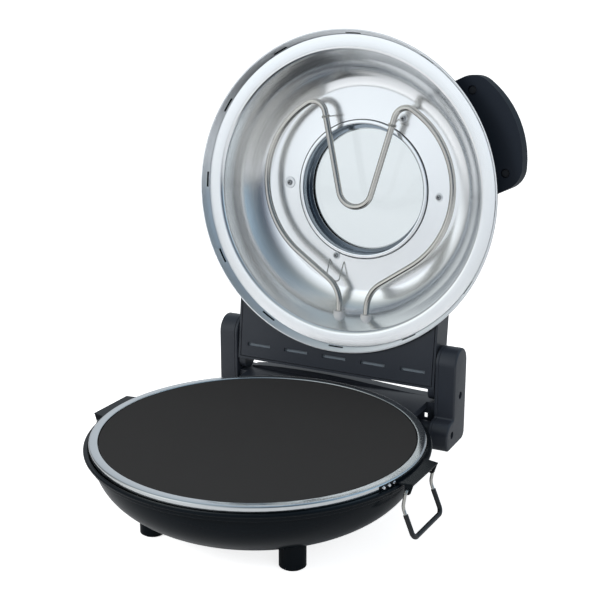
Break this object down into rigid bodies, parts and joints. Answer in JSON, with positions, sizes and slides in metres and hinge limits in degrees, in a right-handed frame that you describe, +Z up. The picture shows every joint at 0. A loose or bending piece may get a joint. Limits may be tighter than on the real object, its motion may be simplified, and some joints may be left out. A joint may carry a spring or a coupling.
{
  "type": "electric pizza maker",
  "caption": "Round electric countertop pizza maker with an open domed lid, exposed upper heating loop and window, a lift-out dark baking stone in a bright tray with wire handles, and stub feet.",
  "frame": {"origin": "middle of the floor area covered by the machine with its lid open, at table height", "axes": "+Z up, +Y to the hinge at the back, +X to the right hand of someone facing the front, along the hinge axis"},
  "size_m": [0.3745, 0.4502, 0.465],
  "materials": {
    "black_enamel": "satin",
    "black_plastic": "fine-grained matt",
    "foot_plastic": "matt",
    "dark_rubber": "matt",
    "sleeve_plastic": "satin",
    "baking_stone": "matt, fine-grained",
    "polished_steel": "bright",
    "bright_aluminium": "satin, spun",
    "heater_tube": "satin",
    "steel_wire": "bright",
    "fastener_steel": "zinc plated",
    "white_ceramic": "matt",
    "window_glass": "clear"
  },
  "bodies": {
    "base": {"base_bowl": "black_enamel", "base_liner": "bright_aluminium", "lower_element": "heater_tube", "lower_element_bushes": "white_ceramic", "lower_element_brackets": "steel_wire", "lower_thermostat": "white_ceramic", "hinge_bridge": "black_plastic", "rear_cover": "black_plastic", "rear_cover_screws": "fastener_steel", "cord_grommet": "dark_rubber", "terminal_block": "white_ceramic", "foot_front_left": "foot_plastic", "foot_front_right": "foot_plastic", "foot_rear_left": "foot_plastic", "foot_rear_right": "foot_plastic", "foot_pads": "dark_rubber", "foot_screws": "fastener_steel", "tray_ring": "polished_steel", "baking_stone": "baking_stone", "left_shield": "black_enamel", "right_shield": "black_enamel", "shield_rivets": "fastener_steel", "left_tower": "black_plastic", "right_tower": "black_plastic", "left_tower_cover": "black_plastic", "right_tower_cover": "black_plastic", "tower_screws": "fastener_steel", "hinge_pins": "fastener_steel"},
    "left_bail": {"left_bail": "steel_wire", "left_bail_sleeve": "sleeve_plastic"},
    "right_bail": {"right_bail": "steel_wire", "right_bail_sleeve": "sleeve_plastic"},
    "lid": {"lid_shell": "black_enamel", "lid_reflector": "bright_aluminium", "reflector_screws": "fastener_steel", "reflector_washers": "fastener_steel", "reflector_posts": "fastener_steel", "upper_element": "heater_tube", "upper_element_bushes": "white_ceramic", "element_clips": "steel_wire", "upper_thermostat": "white_ceramic", "window_collar": "bright_aluminium", "window_glass": "window_glass", "window_gasket": "dark_rubber", "window_ring": "polished_steel", "lid_handle": "black_plastic", "handle_screws": "fastener_steel", "hinge_housing": "black_plastic", "housing_front_plate": "black_enamel", "housing_baffle": "bright_aluminium", "left_hinge_arm": "black_plastic", "right_hinge_arm": "black_plastic", "arm_screws": "fastener_steel"}
  },
  "joints": [
    {"name": "lid_hinge", "type": "hinge", "parent": "base", "child": "lid", "pos_m": [0, 0.134, 0.1045], "axis": [1, 0, 0], "range_deg": [0, 96.2]},
    {"name": "left_bail_pivot", "type": "hinge", "parent": "base", "child": "left_bail", "pos_m": [-0.17383, -0.04641, 0.0795], "axis": [0.0436, 0.999, 0], "range_deg": [0, 100]},
    {"name": "right_bail_pivot", "type": "hinge", "parent": "base", "child": "right_bail", "pos_m": [0.17383, -0.06159, 0.0795], "axis": [-0.0436, -0.999, 0], "range_deg": [0, 100]}
  ]
}
